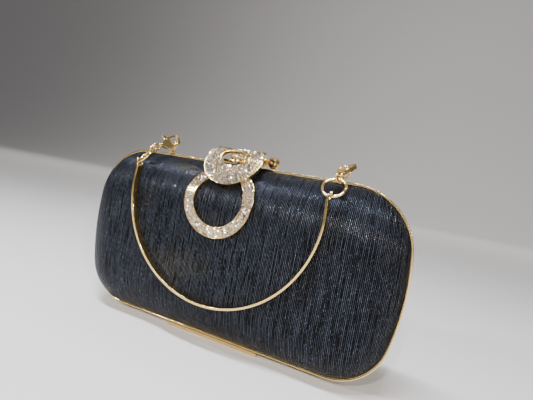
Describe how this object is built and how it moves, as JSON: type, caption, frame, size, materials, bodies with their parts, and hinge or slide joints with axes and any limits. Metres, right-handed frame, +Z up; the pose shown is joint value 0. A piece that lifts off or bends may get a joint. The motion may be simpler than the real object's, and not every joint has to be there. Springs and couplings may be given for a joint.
{
  "type": "evening bag",
  "caption": "Hard-shell evening clutch with rounded corners, gilt frame, top kiss lock with a jewelled double-ring ornament and a half-round metal handle on clasps.",
  "frame": {"origin": "under the middle of the whole object's box, level with the underside of the bottom hinge barrel", "axes": "+X to the right seen from the front, +Y towards the back panel, +Z up to the clasp"},
  "size_m": [0.1998, 0.0398, 0.1139],
  "materials": {
    "lame": "black ribbed lame fabric with a cool sheen",
    "board": "moulded black ABS shell",
    "satin": "black satin lining",
    "gilt": "polished pale gold plating",
    "pave": "pale gold plate set all over with clear rhinestones",
    "steel": "bright drawn steel"
  },
  "bodies": {
    "back_half": {"back_frame": "gilt", "back_cover": "lame", "back_shell": "board", "back_lining": "satin", "slip_pocket": "satin", "back_hinge_leaf": "gilt", "hinge_pin": "steel", "back_kiss_stud": "gilt"},
    "front_half": {"front_frame": "gilt", "front_cover": "lame", "front_shell": "board", "front_lining": "satin", "front_hinge_leaf": "gilt", "front_kiss_stud": "gilt", "arch_ring": "pave", "lower_ring": "pave", "clasp_bracket": "gilt", "bracket_rivet_left": "gilt", "bracket_rivet_right": "gilt", "left_anchor_eye": "gilt", "right_anchor_eye": "gilt"},
    "clips": {"left_frame_ring": "gilt", "right_frame_ring": "gilt", "left_clasp_body": "gilt", "right_clasp_body": "gilt", "left_gate_pin": "steel", "right_gate_pin": "steel", "left_jump_ring": "gilt", "right_jump_ring": "gilt"},
    "left_gate": {"left_clasp_gate": "gilt"},
    "right_gate": {"right_clasp_gate": "gilt"},
    "handle": {"handle": "gilt", "left_o_ring": "gilt", "right_o_ring": "gilt"}
  },
  "joints": [
    {"name": "case_hinge", "type": "hinge", "parent": "back_half", "child": "front_half", "pos_m": [0, 0.00259, 0.0012], "axis": [1, 0, 0], "range_deg": [0, 70]},
    {"name": "clip_swing", "type": "hinge", "parent": "front_half", "child": "clips", "pos_m": [0, 0.00164, 0.1038], "axis": [1, 0, 0], "range_deg": [-70, 0]},
    {"name": "handle_swing", "type": "hinge", "parent": "clips", "child": "handle", "pos_m": [0, -0.01061, 0.1021], "axis": [1, 0, 0], "range_deg": [-110, 0]},
    {"name": "left_gate_press", "type": "hinge", "parent": "clips", "child": "left_gate", "pos_m": [-0.05228, -0.00259, 0.10997], "axis": [0.7524, -0.5716, 0.3274], "range_deg": [-11, 0], "stiffness_Nm_per_rad": 0.02, "springref_deg": 5.73},
    {"name": "right_gate_press", "type": "hinge", "parent": "clips", "child": "right_gate", "pos_m": [0.05874, -0.00073, 0.10678], "axis": [-0.4208, -0.3238, 0.8474], "range_deg": [-11, 0], "stiffness_Nm_per_rad": 0.02, "springref_deg": 5.73}
  ]
}
